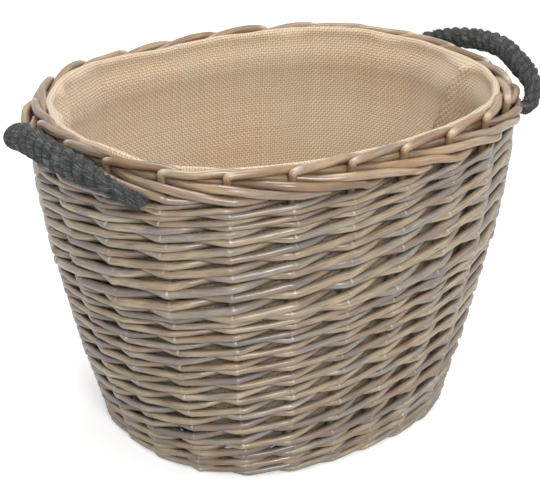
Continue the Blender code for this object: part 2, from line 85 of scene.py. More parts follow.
# Name, rod in the CAD, rod here from butt to tip, heights of the rounds
ZONES = (
    ("upsett", 0.0084, (0.0086, 0.0080), (0.0077, 0.0195)),
    ("lower_wale", 0.0061, (0.0088, 0.0073), (0.0325, 0.0495, 0.0735, 0.0965, 0.1190, 0.1410,
                                              0.1620, 0.1825, 0.2015, 0.2190)),
    ("upper_wale", 0.0083, (0.0109, 0.0089), (0.2350, 0.2620, 0.2880, 0.3100, 0.3310)),
    ("top_wale", 0.0066, (0.0074, 0.0069), (0.3480, 0.3615)),
)
STRANDS = 3               # rods in a zone, and stakes that one stroke passes
BASE_HEIGHT = 0.014257    # middle of the sticks
BASE_TOP = 0.0280         # the base's rods stay below this
WINDOW_HEIGHT = 0.37771   # where a rope goes through the wall
CROSS_STICKS = 7
CROSS_STICK_DIAMETER = 0.011
CROSS_STICK_SPACING = 0.027
LONG_STICKS = 5
LONG_STICK_DIAMETER = 0.0065
LONG_STICK_SPACING = 0.0080
STICK_END_ROOM = 0.0035   # between a stick's end and the siding
BASE_ROD_DIAMETER = 0.0052
BASE_RINGS = 10
ROPE_DIAMETER = 0.028
ROPE_WAIST = 0.013        # squeezed, between the border and the siding
ROPE_AXIS_OUT = 0.0245    # the handle's hinge, out from the stakes
TAIL_RUN = 0.060          # of rope inside the wall, and the bend that it starts with
TAIL_BEND = 0.014
TAIL_GAP = 0.0001
LOOP_DEPTH = 0.058        # from the hinge to the middle of the loop
LOOP_ROUTE = (            # share of the way between the windows, share of the depth
    (0.000, 0.00), (0.005, 0.14), (0.035, 0.33), (0.100, 0.54), (0.190, 0.71),
    (0.290, 0.84), (0.400, 0.96), (0.510, 1.00), (0.620, 0.94), (0.725, 0.82),
    (0.815, 0.67), (0.890, 0.54), (0.955, 0.33), (0.990, 0.17), (1.000, 0.00),
)
LEFT_LOOP_ROUTE = (       # closer to the border at its far end
    (0.000, 0.00), (0.005, 0.10), (0.035, 0.17), (0.100, 0.29), (0.190, 0.50),
    (0.290, 0.73), (0.400, 0.92), (0.510, 1.00), (0.620, 0.95), (0.725, 0.83),
    (0.815, 0.68), (0.890, 0.53), (0.955, 0.32), (0.990, 0.15), (1.000, 0.00),
)
HANDLES = (               # side, windows counted in stakes, degrees above level
    ("left", (4.25, 7.75), 36.0),
    ("right", (15.80, 19.28), 37.0),
)
ROPE_TAIL_SIZE = 0.50     # share of the rope's thickness that is left inside the wall
ROPE_DIP = 0.0010         # a rope lies this much lower in the wall, under the border
ROPE_LAY = 0.043          # one turn of a strand
LINER_GIRTH = 1.60        # round the liner, inside the border


# ---- the oval and its stakes ----

def wall_share(height):
    """Share of the flare that the wall has reached at a height."""
    t = min(max(height / HEIGHT, 0.0), 1.0)
    run = t * WALL_KNOTS
    low = min(int(run), WALL_KNOTS - 1)
    shares = []
    for knot in (low, low + 1):
        k = knot / WALL_KNOTS
        shares.append((1.0 + WALL_SWELL) * k - WALL_SWELL * k * k)
    return shares[0] + (shares[1] - shares[0]) * (run - low)


def wale_reach(diameter):
    """From the middle of a stake to the middle of a rod that passes it."""
    return ((STAKE_DIAMETER + diameter) / 2 + FIT_GAP) * BEND_ROOM


def half_sizes(height):
    """Half the length and half the width of the stakes' oval at a height."""
    border_out = (max(row[1] for row in BORDER_PATH) + 0.5) * STAKE_DIAMETER
    base_out = wale_reach(ZONES[0][1]) + ZONES[0][1] / 2
    share = wall_share(height)
    halves = []
    for base, top in ((BASE_LENGTH, TOP_LENGTH), (BASE_WIDTH, TOP_WIDTH)):
        low = base / 2 - base_out
        high = top / 2 - border_out
        halves.append(low + (high - low) * share)
    return halves


def oval_point(angle, half_length, half_width):
    cosine, sine = math.cos(angle), math.sin(angle)
    return Vector((
        half_length * math.copysign(abs(cosine) ** (2 / OVAL_POWER), cosine),
        half_width * math.copysign(abs(sine) ** (2 / OVAL_POWER), sine),
        0.0,
    ))


def stake_angles(samples=2880):
    """Angles of places spaced evenly along the oval at the top, from the middle of the back."""
    half_length, half_width = half_sizes(HEIGHT)
    angles = [math.pi / 2 + 2 * math.pi * i / samples for i in range(samples + 1)]
    points = [oval_point(a, half_length, half_width) for a in angles]
    way = [0.0]
    for before, after in zip(points, points[1:]):
        way.append(way[-1] + (after - before).length)
    found, place = [], 0
    for i in range(STAKE_COUNT * STEPS_PER_STAKE + 1):
        wanted = way[-1] * i / (STAKE_COUNT * STEPS_PER_STAKE)
        while place < samples - 1 and way[place + 1] < wanted:
            place += 1
        share = (wanted - way[place]) / (way[place + 1] - way[place])
        found.append(angles[place] + (angles[place + 1] - angles[place]) * share)
    return found


ANGLE_TABLE = stake_angles()


def angle_at(stake):
    run = (stake % STAKE_COUNT) * STEPS_PER_STAKE
    low = int(run)
    turn = ANGLE_TABLE[low]
    return turn + (ANGLE_TABLE[min(low + 1, len(ANGLE_TABLE) - 1)] - turn) * (run - low)


def outward(stake, height):
    """The level direction square to the oval."""
    half_length, half_width = half_sizes(height)
    p = oval_point(angle_at(stake), half_length, half_width)
    power = OVAL_POWER - 1
    return Vector((
        math.copysign(abs(p.x / half_length) ** power / half_length, p.x),
        math.copysign(abs(p.y / half_width) ** power / half_width, p.y),
        0.0,
    )).normalized()


def ring_point(stake, out, height):
    """A point beside the line of stakes; 0 is the middle of the back, 12 of the front."""
    half_length, half_width = half_sizes(height)
    p = oval_point(angle_at(stake), half_length, half_width)
    p += outward(stake, height) * out
    p.z = height
    return p


def wall_normal(stake, height):
    """The direction square to the flared wall."""
    span = HEIGHT / WALL_KNOTS
    low = min(int(max(height, 0.0) / span), WALL_KNOTS - 1) * span
    rise = (ring_point(stake, 0, low + span) - ring_point(stake, 0, low)).normalized()
    out = outward(stake, height)
    return (out - rise * out.dot(rise)).normalized()


# ---- rods swept along their paths ----

def eased(points, steps):
    """A smooth curve through rows of numbers, with even steps between them."""
    p = np.asarray(points, float)
    p = np.vstack([2 * p[0] - p[1], p, 2 * p[-1] - p[-2]])
    a, b, c, d = p[:-3], p[1:-2], p[2:-1], p[3:]
    rows = []
    for number in range(steps):
        t = number / steps
        rows.append(0.5 * (2 * b + (c - a) * t + (2 * a - 5 * b + 4 * c - d) * t * t
                           + (3 * b - a - 3 * c + d) * t ** 3))
    curve = np.stack(rows, axis=1).reshape(-1, p.shape[1])
    return np.vstack([curve, p[-2]])


def frames(path):
    """Tangent and two directions square to it, carried along without twist."""
    tangent = np.gradient(path, axis=0)
    tangent /= np.linalg.norm(tangent, axis=1)[:, None]
    side = np.empty_like(path)
    first = np.cross(tangent[0], (0.0, 0.0, 1.0))
    if np.linalg.norm(first) < 0.1:
        first = np.cross(tangent[0], (0.0, 1.0, 0.0))
    keep = first
    for i, along in enumerate(tangent):
        keep = keep - along * keep.dot(along)
        keep = keep / math.sqrt(keep.dot(keep))
        side[i] = keep
    return tangent, side, np.cross(tangent, side)


def walked(path):
    """Way from the start of a path to each of its points."""
    return np.concatenate([[0.0], np.cumsum(np.linalg.norm(np.diff(path, axis=0), axis=1))])


def mesh_object(name, verts, faces, finish, values=(), vectors=()):
    """A smooth mesh at the origin, with named values and vectors at its points."""
    mesh = bpy.data.meshes.new(name)
    mesh.from_pydata([tuple(v) for v in verts.tolist()], [], faces)
    for label, data in values:
        made = mesh.attributes.new(label, "FLOAT", "POINT")
        made.data.foreach_set("value", np.asarray(data, np.float32))
    for label, data in vectors:
        made = mesh.attributes.new(label, "FLOAT_VECTOR", "POINT")
        made.data.foreach_set("vector", np.asarray(data, np.float32).ravel())
    mesh.polygons.foreach_set("use_smooth", [True] * len(mesh.polygons))
    mesh.materials.append(finish)
    obj = bpy.data.objects.new(name, mesh)
    bpy.context.scene.collection.objects.link(obj)
    return obj


def tube_faces(rings, sides, base=0):
    """Faces of a tube with cut ends, whose points come ring by ring."""
    faces = []
    for a in range(base, base + (rings - 1) * sides, sides):
        for j in range(sides):
            k = (j + 1) % sides
            faces.append((a + j, a + k, a + sides + k, a + sides + j))
    faces.append(tuple(base + j for j in reversed(range(sides))))
    faces.append(tuple(base + (rings - 1) * sides + j for j in range(sides)))
    return faces


GRAIN_SHIFT = 0.37        # moves the grain across a rod by a share of its start


def rods(name, parts, sides, finish):
    """Round rods with cut ends in one mesh. Each part has a path, radii, and a tint and the
    grain's start for the whole rod. It may have a bend, which is 1 at a kink and sets a
    painted highlight there, and a depth, which is 1 where it lies deep in the weave and
    sets painted shade."""
    verts, faces, grain, tints, painted_highlights, depths = [], [], [], [], [], []
    turn = np.arange(sides) * 2 * math.pi / sides
    cosine, sine = np.cos(turn), np.sin(turn)
    base = 0
    for part in parts:
        path = np.asarray(part["path"], float)
        n = len(path)
        radii = np.broadcast_to(np.asarray(part["radii"], float), (n,))
        _, side, up = frames(path)
        offset = cosine[None, :, None] * side[:, None, :] + sine[None, :, None] * up[:, None, :]
        verts.append((path[:, None, :] + offset * radii[:, None, None]).reshape(-1, 3))
        grain.append(np.stack([
            np.outer(radii, cosine).ravel() + part["start"] * GRAIN_SHIFT,
            np.outer(radii, sine).ravel(),
            np.repeat(walked(path) + part["start"], sides),
        ], axis=1))
        tints.append(np.full(n * sides, part["tint"]))
        upper = np.clip(0.10 + 0.95 * offset[:, :, 2], 0, 1)   # painted highlight, only on the side that faces up towards the light
        painted_highlights.append((part.get("bend", np.zeros(n))[:, None] * upper).ravel())
        depths.append(np.repeat(part.get("depth", np.zeros(n)), sides))
        faces += tube_faces(n, sides, base)
        base += n * sides
    return mesh_object(
        name, np.vstack(verts), faces, finish,
        values=(("tint", np.concatenate(tints)), ("bend", np.concatenate(painted_highlights)),
                ("depth", np.concatenate(depths))),
        vectors=(("grain", np.vstack(grain)),),
    )


def keep_above(obj, lowest):
    for vert in obj.data.vertices:
        vert.co.z = max(vert.co.z, lowest)


def step(value):
    """Goes smoothly from 0 to 1 while the value does."""
    value = min(max(value, 0.0), 1.0)
    return value * value * (3 - 2 * value)


# ---- materials ----

def new_material(name):
    made = bpy.data.materials.new(name)
    made.use_nodes = True
    return made, made.node_tree, made.node_tree.nodes["Principled BSDF"]


def node(tree, kind, values=None, **options):
    made = tree.nodes.new("ShaderNode" + kind)
    for key, value in options.items():
        setattr(made, key, value)
    for key, value in (values or {}).items():
        if isinstance(value, bpy.types.NodeSocket):
            tree.links.new(value, made.inputs[key])
        else:
            made.inputs[key].default_value = value
    return made


def maths(tree, operation, *values):
    return node(tree, "Math", dict(enumerate(values)), operation=operation).outputs[0]


def times_plus(tree, value, factor, more):
    return maths(tree, "ADD", maths(tree, "MULTIPLY", value, factor), more)


def sine_wave(tree, run):
    """Crosses zero at every whole number."""
    return maths(tree, "SINE", maths(tree, "MULTIPLY", run, math.pi))


def faded(tree, value, low, high, start, end):
    """Goes from start to end while the value goes from low to high."""
    return node(tree, "MapRange", {
        "Value": value, "From Min": low, "From Max": high, "To Min": start, "To Max": end,
    }).outputs[0]


def either(tree, share, a, b):
    return node(tree, "Mix", {0: share, 2: a, 3: b}, data_type="FLOAT").outputs[0]


def attribute(tree, name, output="Fac"):
    return node(tree, "Attribute", attribute_name=name).outputs[output]


def stretched(tree, at, scale):
    return node(tree, "Mapping", {"Vector": at, "Scale": scale}).outputs[0]


def noise(tree, at, scale, detail):
    return node(tree, "TexNoise", {"Vector": at, "Scale": scale, "Detail": detail}).outputs["Fac"]


def ramp(tree, factor, stops):
    made = node(tree, "ValToRGB", {"Fac": factor})
    points = made.color_ramp.elements
    while len(points) < len(stops):
        points.new(0.5)
    for point, (place, colour) in zip(points, stops):
        point.position = place
        point.color = (*colour, 1.0)
    return made.outputs["Color"]


def towards(tree, colour, *layers):
    """The colour after each layer, a share and the colour that it goes to."""
    for share, other in layers:
        values = {0: share, 6: colour, 7: (*other, 1.0)}
        colour = node(tree, "Mix", values, data_type="RGBA").outputs[2]
    return colour


def finish_surface(tree, shader, colour, relief, strength, distance, settings):
    tree.links.new(colour, shader.inputs["Base Color"])
    bump = node(tree, "Bump", {"Height": relief, "Strength": strength, "Distance": distance})
    tree.links.new(bump.outputs[0], shader.inputs["Normal"])
    for key, value in settings.items():
        shader.inputs[key].default_value = value


def willow(name, stops, wash, roughness, tip, shade):
    """Stripped and stained willow: fine grain along the rod, slow stains, bud scars, a painted
    highlight on the upper side at the kinks, and painted shade where a rod lies deep in the
    weave."""
    made, tree, shader = new_material(name)
    grain = attribute(tree, "grain", "Vector")
    slow = noise(tree, stretched(tree, grain, (60, 60, 19)), 1.0, 3.0)
    fine = noise(tree, stretched(tree, grain, (900, 900, 45)), 1.0, 4.0)
    bud = node(tree, "TexVoronoi", {
        "Vector": stretched(tree, grain, (130, 130, 17)), "Scale": 1.0, "Randomness": 1.0,
    }).outputs["Distance"]
    drift = maths(tree, "MULTIPLY", maths(tree, "SUBTRACT", slow, 0.5), 1.30)
    colour = ramp(tree, maths(tree, "ADD", attribute(tree, "tint"), drift), stops)
    scar = faded(tree, bud, 0.05, 0.13, 0.8, 0.0)
    colour = towards(
        tree, colour,
        (faded(tree, fine, 0.36, 0.60, 0.72, 0.0), wash),
        (scar, (0.07, 0.04, 0.025)),
        # Painted highlight at the kinks, and painted shade deep in the weave
        (maths(tree, "MULTIPLY", attribute(tree, "bend"), 0.85), tip),
        (maths(tree, "MULTIPLY", attribute(tree, "depth"), 0.45), shade),
    )
    rough = faded(tree, fine, 0.3, 0.7, roughness + 0.14, roughness - 0.05)
    tree.links.new(rough, shader.inputs["Roughness"])
    relief = maths(tree, "ADD", fine, maths(tree, "MULTIPLY", scar, -0.8))
    finish_surface(tree, shader, colour, relief, 0.5, 0.0003,
                   {"Coat Weight": 0.42, "Coat Roughness": 0.20})
    return made


def yarn_height(tree, yarn, crossing):
    """A yarn is round, and lies lower beside the yarns that cross it."""
    return maths(tree, "MULTIPLY", maths(tree, "POWER", yarn, 0.7),
                 times_plus(tree, crossing, 0.45, 0.55))


def hessian_cloth(name, yarn):
    """Plain weave of coarse jute: yarns over and under each other, holes at the corners.
    The UV map is in metres, round the liner and down from the edge of its hem."""
    made, tree, shader = new_material(name)
    uv = node(tree, "UVMap", uv_map="cloth").outputs[0]
    wander = node(tree, "TexNoise", {"Vector": uv, "Scale": 22.0, "Detail": 2.0}).outputs["Color"]
    shift = node(tree, "VectorMath", {0: wander, 1: (0.5, 0.5, 0.5)},
                 operation="SUBTRACT").outputs[0]
    shift = node(tree, "VectorMath", {0: shift, "Scale": 0.006}, operation="SCALE").outputs[0]
    lying = node(tree, "VectorMath", {0: uv, 1: shift}, operation="ADD").outputs[0]
    parts = node(tree, "SeparateXYZ", {0: lying})
    across = maths(tree, "DIVIDE", parts.outputs[0], yarn)
    down = maths(tree, "DIVIDE", parts.outputs[1], yarn)
    warp = maths(tree, "ABSOLUTE", sine_wave(tree, across))
    weft = maths(tree, "ABSOLUTE", sine_wave(tree, down))
    warp_number = maths(tree, "FLOOR", across)
    weft_number = maths(tree, "FLOOR", down)
    over = maths(tree, "FLOORED_MODULO", maths(tree, "ADD", warp_number, weft_number), 2.0)
    height = either(tree, over, yarn_height(tree, warp, weft), yarn_height(tree, weft, warp))

    # Every yarn has its own tone, and the fibres in it are uneven
    tones = [node(tree, "TexWhiteNoise", {"W": number}, noise_dimensions="1D").outputs["Value"]
             for number in (warp_number, maths(tree, "ADD", weft_number, 517.0))]
    fibre = noise(tree, uv, 420.0, 3.0)
    tone = times_plus(tree, either(tree, over, *tones), 0.20,
                      maths(tree, "MULTIPLY", fibre, 0.80))
    colour = ramp(tree, tone, ((0.25, (0.56, 0.41, 0.265)), (0.5, (0.73, 0.57, 0.40)),
                               (0.75, (0.88, 0.74, 0.56))))
    patches = faded(tree, noise(tree, uv, 5.0, 2.0), 0.40, 0.62, 0.10, 0.62)

    # A slanting twill-like shade, which leans the other way on the far part of the cloth
    turned = maths(tree, "FLOORED_MODULO", maths(tree, "ADD", parts.outputs[0], 0.6), LINER_GIRTH)
    turned = faded(tree, turned, 0.40, 0.56, 0.0, 1.0)
    rising = sine_wave(tree, maths(tree, "SUBTRACT", across, down))
    falling = sine_wave(tree, maths(tree, "ADD", across, down))
    slant = times_plus(tree, either(tree, turned, rising, falling), 0.26, 0.26)

    from_edge = node(tree, "SeparateXYZ", {0: uv}).outputs[1]
    # Painted shade on the hem, which faces up towards the lamps
    hem = faded(tree, from_edge, 0.020, 0.026, 0.40, 0.0)
    # Painted shade in a band under the hem, where the cloth turns in at the crease
    from_crease = maths(tree, "ABSOLUTE", maths(tree, "SUBTRACT", parts.outputs[1], 0.031))
    crease_shade = faded(tree, from_crease, 0.001, 0.008, 0.40, 0.0)
    # Painted shade in the holes and low places between the yarns
    holes = faded(tree, height, 0.20, 0.66, 0.80, 0.0)
    colour = towards(
        tree, colour,
        (patches, (0.72, 0.63, 0.47)),
        (slant, (0.36, 0.24, 0.14)),
        # painted shade on the hem
        (hem, (0.56, 0.43, 0.29)),
        (crease_shade, (0.42, 0.28, 0.17)),
        # painted shade in the holes
        (holes, (0.29, 0.19, 0.11)),
    )
    relief = maths(tree, "ADD", height, maths(tree, "MULTIPLY", fibre, 0.25))
    finish_surface(tree, shader, colour, relief, 0.8, 0.0006,
                   {"Roughness": 0.92, "Sheen Weight": 0.25, "Sheen Roughness": 0.5})
    return made


def dyed_rope(name):
    """Soft charcoal rope: yarns that run along it, matted fibres, and painted shade in the
    valleys between the strands."""
    made, tree, shader = new_material(name)
    grain = attribute(tree, "grain", "Vector")
    yarn = noise(tree, stretched(tree, grain, (520, 520, 70)), 1.0, 4.0)
    matted = noise(tree, grain, 900.0, 3.0)
    blotch = noise(tree, grain, 70.0, 3.0)
    tone = times_plus(tree, yarn, 0.5, maths(tree, "MULTIPLY", matted, 0.3))
    tone = maths(tree, "ADD", tone, maths(tree, "MULTIPLY", blotch, 0.2))
    colour = ramp(tree, tone, ((0.37, (0.016, 0.018, 0.018)), (0.5, (0.045, 0.048, 0.047)),
                               (0.63, (0.160, 0.163, 0.156))))
    # Painted shade in the valleys between the strands
    valley_shade = maths(tree, "MULTIPLY", attribute(tree, "valley_shade"), 0.55)
    colour = towards(tree, colour, (valley_shade, (0.012, 0.013, 0.013)))
    relief = times_plus(tree, yarn, 0.7, maths(tree, "MULTIPLY", matted, 0.4))
    finish_surface(tree, shader, colour, relief, 0.9, 0.0012, {
        "Roughness": 0.95, "Specular IOR Level": 0.2, "Sheen Weight": 0.12,
        "Sheen Roughness": 0.6, "Sheen Tint": (0.50, 0.50, 0.49, 1.0),
    })
    return made


# tip is the colour of a painted highlight at the kinks, shade that of painted shade deep in the
# weave
BORDER_WILLOW = willow(
    "border_willow_finish",
    stops=((0.0, (0.175, 0.108, 0.063)), (0.25, (0.285, 0.170, 0.084)),
           (0.5, (0.345, 0.220, 0.112)), (0.75, (0.235, 0.178, 0.130)),
           (1.0, (0.385, 0.268, 0.154))),
    wash=(0.150, 0.088, 0.052), roughness=0.26,
    tip=(0.62, 0.50, 0.37), shade=(0.160, 0.132, 0.100))
WALE_WILLOW = willow(
    "wale_willow_finish",
    stops=((0.0, (0.180, 0.148, 0.130)), (0.22, (0.270, 0.190, 0.126)),
           (0.42, (0.385, 0.304, 0.192)), (0.62, (0.305, 0.250, 0.182)),
           (0.8, (0.235, 0.207, 0.190)), (1.0, (0.455, 0.376, 0.256))),
    wash=(0.130, 0.094, 0.065), roughness=0.26,
    tip=(0.84, 0.79, 0.70), shade=(0.205, 0.163, 0.120))
BASE_WILLOW = willow(
    "base_willow_finish",
    stops=((0.0, (0.20, 0.15, 0.10)), (0.5, (0.30, 0.23, 0.15)), (1.0, (0.36, 0.29, 0.19))),
    wash=(0.14, 0.10, 0.07), roughness=0.5,
    tip=(0.50, 0.42, 0.30), shade=(0.110, 0.085, 0.060))
HESSIAN = hessian_cloth("hessian_finish", yarn=0.0032)
CHARCOAL_ROPE = dyed_rope("charcoal_rope_finish")


# ---- stakes and border ----

WALL_HEIGHTS = (0.030, 0.060, 0.1025, 0.154, 0.205, 0.256, 0.3075, 0.345, 0.375)
FOOT_GAP = 0.0003         # under the cross sticks
STAKE_STEPS = 6           # points along the curve for each row of a stake's path
BORDER_SWELL = 0.13       # share by which the border rods are thicker than the stakes
TIP_TAPER = 0.30          # share of its thickness that a rod loses at its tip
KINK_HIGHLIGHT_RUN = 0.0038       # how far the painted highlight, and a slight thinning, go on each side of the kink
RIM_LIFT = 0.0075         # the border stands higher at the left of the back
RIM_LIFT_AT = 2.6         # in stakes
RIM_LIFT_WIDTH = 1.3


def rim_lift(stake):
    away = (stake % STAKE_COUNT - RIM_LIFT_AT) / RIM_LIFT_WIDTH
    return RIM_LIFT * math.exp(-away ** 2)


def border_rows(stake):
    """The border's share of one stake as rows of x, y, z, none quite like the next."""
    chance = random.Random(300 + stake)
    rows = []
    for passed, rods_out, rows_down in BORDER_PATH:
        if passed > 0.4:
            rods_out += chance.gauss(0, 0.06)
            rows_down += chance.gauss(0, 0.09)
            passed += chance.gauss(0, 0.02)
        level = HEIGHT - rows_down * BORDER_ROW
        p = ring_point(stake + passed, rods_out * STAKE_DIAMETER, HEIGHT if passed else level)
        rows.append((p.x, p.y, level + rim_lift(stake + passed) * (1 - rows_down / 4)))
    return rows


def make_stakes():
    chance = random.Random(24)
    foot_height = (BASE_HEIGHT - CROSS_STICK_DIAMETER / 2 * math.cos(math.pi / 8)
                   - FOOT_GAP - STAKE_DIAMETER / 2)
    for stake in range(STAKE_COUNT):
        wall = [
            ring_point(stake, -FOOT_LENGTH, foot_height),
            ring_point(stake, -HEEL_BEND * 1.5, HEEL_HEIGHT),
            ring_point(stake, -HEEL_BEND * 0.4, HEEL_HEIGHT),
            ring_point(stake, 0, HEEL_HEIGHT + HEEL_BEND * 0.6),
        ]
        wall += [ring_point(stake, 0, height) for height in WALL_HEIGHTS]
        path = eased([tuple(p) for p in wall] + border_rows(stake), STAKE_STEPS)
        kink = (len(wall) + 1) * STAKE_STEPS
        beyond = np.arange(len(path)) - kink
        run = walked(path)
        # bend is 1 at the kink, where the rod is a little thinner and gets a painted highlight
        bend = np.exp(-(np.abs(run - run[kink]) / KINK_HIGHLIGHT_RUN) ** 2)
        tip = np.clip(beyond / (len(path) - kink), 0, 1)
        full = np.clip((beyond + 6) / 10, 0, 1)
        swell = BORDER_SWELL * chance.uniform(0.96, 1.04) * full
        radii = STAKE_DIAMETER / 2 * (1.0 + swell - TIP_TAPER * tip ** 5 - 0.06 * bend)
        ripple = np.sin(run * 70 + stake * 2.1) * 0.02
        part = {
            "path": path, "radii": radii * (1 + ripple), "tint": chance.random(),
            "start": stake * 1.7, "bend": bend * 0.8,
            # The stake in the wall takes the shade colour: partly painted shade deep in the
            # weave, partly a greyer tone of its own
            "depth": 1.0 - np.clip((beyond + 9) / 6, 0, 1),
        }
        name = f"stake_{stake + 1:02d}"
        obj = rods(name + "_rod", [part], 12, BORDER_WILLOW)
        keep_above(obj, 0.0)
        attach(obj, "basket")
        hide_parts(name)


# ---- wale ----

# Stakes passed after the hidden one, side of the stakes, share of a round climbed
WALE_STROKE = (
    (0.00, -0.93, -0.50), (0.22, -0.62, -0.36), (0.47, 0.05, -0.12), (0.72, 0.62, -0.05),
    (0.91, 0.96, 0.00), (1.00, 1.01, 0.00), (1.10, 1.03, 0.03), (1.50, 1.12, 0.17),
    (1.90, 1.03, 0.32), (2.00, 1.01, 0.34), (2.10, 0.93, 0.39), (2.32, 0.58, 0.48),
    (2.55, 0.02, 0.55), (2.78, -0.60, 0.53),
)
SECOND_CLIMB = 0.34       # share climbed where the rod passes its second stake
HIDDEN_CLIMB = 0.55       # share climbed where it goes in behind the third
RING_STROKES = 4          # strokes of a rod that stays in its round
WALE_STEPS = 3            # points along the curve for each row of a rod's path
WALE_DRIFT = 0.022        # how early or late a rod bends at a stake, in stakes
WALE_JITTER = 0.0003      # unevenness of every row of its path
FLOOR_GAP = 0.0002        # between the lowest rods and the floor


def wale_row(zone, passed, side, height):
    """One point of a rod beside the wall's straight run from stake to stake. The last
    value is its depth in the weave, which sets its painted shade."""
    stake = math.floor(passed)
    share = passed - stake
    p = ring_point(stake, 0, height).lerp(ring_point(stake + 1, 0, height), share)
    normal = wall_normal(stake, height).lerp(wall_normal(stake + 1, height), share)
    p = p + normal * side * wale_reach(zone[1]) * 0.97
    return (p.x, p.y, p.z, max(0.0, -side))


def climbed_height(levels, level, climbed, diameter):
    """Height on the way from one round to the next. At its second stake a rod lies on the
    rod that passes its first stake there."""
    above = level + 1 if level + 1 < len(levels) else level
    below = level - 1 if level else level
    pitch = levels[above] - levels[level] or levels[level] - levels[below]
    drop = levels[level] - levels[below] or pitch
    if climbed <= 0:
        return levels[level] + climbed * drop
    second = min(diameter * 1.03 / pitch, 0.52)
    if climbed <= SECOND_CLIMB:
        share = climbed / SECOND_CLIMB * second
    else:
        later = (climbed - SECOND_CLIMB) / (HIDDEN_CLIMB - SECOND_CLIMB)
        share = second + later * (HIDDEN_CLIMB - second)
    return levels[level] + share * pitch


def wale_strokes(zone, first, strokes, chance, ring=None):
    """A rod that goes in front of two stakes and behind the third, again and again.
    Without a ring it climbs, and every stroke lies one round higher than the one before.
    Gives the rows of its path, and at each of them the strength of a painted highlight at a kink."""
    _, _, (butt, tip), levels = zone
    rows, highlight_strengths = [], []
    for stroke in range(strokes):
        level = stroke if ring is None else ring
        diameter = butt + (tip - butt) * stroke / strokes
        drift = [chance.gauss(0, WALE_DRIFT) for _ in range(STRANDS)]
        for passed, side, climbed in WALE_STROKE:
            if ring is not None and passed < 0.4:
                climbed = 0.5 - (0.5 - climbed) * 0.6 if passed else 0.45
            height = max(climbed_height(levels, level, climbed, diameter), butt * 0.42)
            at = passed + drift[round(passed) % STRANDS] if passed else 0
            rows.append(wale_row(zone, first + STRANDS * stroke + at, side, height))
            # A painted highlight at the kinks, stronger at the first stake than at the second
            if passed == 1.0:
                highlight_strengths.append(chance.uniform(0.2, 1.0))
            elif passed == 2.0:
                highlight_strengths.append(chance.uniform(0.0, 0.35))
            else:
                highlight_strengths.append(0.0)
    level = strokes - 1 if ring is None else ring
    height = climbed_height(levels, level, 0.5, tip)
    rows.append(wale_row(zone, first + STRANDS * strokes, -0.93, height))
    highlight_strengths.append(0.0)
    return rows, highlight_strengths


def wale_rod(zone, first, strokes, ring, chance):
    _, _, (butt, tip), _ = zone
    rows, highlight_strengths = wale_strokes(zone, first, strokes, chance, ring)
    jitter = [[chance.gauss(0, WALE_JITTER) for _ in range(3)] + [0.0] for _ in rows]
    curve = eased(np.array(rows) + np.array(jitter), WALE_STEPS)
    bend = np.zeros(len(curve))
    bend[::WALE_STEPS] = highlight_strengths
    share = np.linspace(0, 1, len(curve))
    radii = (butt + (tip - butt) * share) / 2 * chance.uniform(0.95, 1.05)
    radii = radii * (1 + 0.03 * np.sin(share * strokes * 6.3 + chance.random() * 6))
    # depth gives painted shade where the rod passes behind a stake
    return {
        "path": curve[:, :3], "radii": radii * (1 - 0.05 * bend), "tint": chance.random(),
        "start": chance.uniform(0, 40), "depth": np.clip(curve[:, 3], 0, 1), "bend": bend,
    }


def make_wale():
    chance = random.Random(5)
    for zone in ZONES:
        name, levels = zone[0], zone[3]
        for strand in range(STRANDS):
            if len(levels) > 2:
                runs = [(first, len(levels), None)
                        for first in range(strand, STAKE_COUNT, STRANDS)]
            else:
                runs = [(first, RING_STROKES, ring) for ring in range(len(levels))
                        for first in range(strand, STAKE_COUNT, STRANDS * RING_STROKES)]
            parts = [wale_rod(zone, *run, chance) for run in runs]
            node_name = f"{name}_rod_{strand + 1}"
            obj = rods(node_name + "_willow", parts, 10, WALE_WILLOW)
            keep_above(obj, FLOOR_GAP)
            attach(obj, "basket")
            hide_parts(node_name)


# ---- base ----

def slath_half_width():
    """Half the width of the long sticks where they lie side by side."""
    return ((LONG_STICKS - 1) * LONG_STICK_SPACING + LONG_STICK_DIAMETER) / 2 + 0.0004


def stick_end(stake):
    first = ZONES[0][1]
    return ring_point(stake, -wale_reach(first) - first / 2 - STICK_END_ROOM, BASE_HEIGHT)


def cross_stick_points(number):
    step_from_middle = number - (CROSS_STICKS - 1) // 2
    x = step_from_middle * CROSS_STICK_SPACING
    y = slath_half_width() + CROSS_STICK_DIAMETER / 2
    return [
        stick_end(STAKE_COUNT // 2 + step_from_middle),
        Vector((x, -y, BASE_HEIGHT)),
        Vector((x, y, BASE_HEIGHT)),
        stick_end(-step_from_middle),
    ]


def long_stick_points(number):
    step_from_middle = number - (LONG_STICKS - 1) // 2
    y = step_from_middle * LONG_STICK_SPACING
    x = (CROSS_STICKS - 1) / 2 * CROSS_STICK_SPACING + CROSS_STICK_DIAMETER
    return [
        stick_end(STAKE_COUNT // 4 - step_from_middle),
        Vector((-x, y, BASE_HEIGHT)),
        Vector((x, y, BASE_HEIGHT)),
        stick_end(STAKE_COUNT * 3 // 4 + step_from_middle),
    ]


def spokes():
    """For every stick end, going round: where its middle part stops, its outer end, its
    diameter, and the share of the way between them where the first ring lies."""
    found = []
    for points_of, count, diameter, first in (
            (cross_stick_points, CROSS_STICKS, CROSS_STICK_DIAMETER, 0.08),
            (long_stick_points, LONG_STICKS, LONG_STICK_DIAMETER, 0.28)):
        for number in range(count):
            points = points_of(number)
            found.append((points[1], points[0], diameter, first))
            found.append((points[2], points[3], diameter, first))
    return sorted(found, key=lambda spoke: math.atan2(spoke[1].y, spoke[1].x))


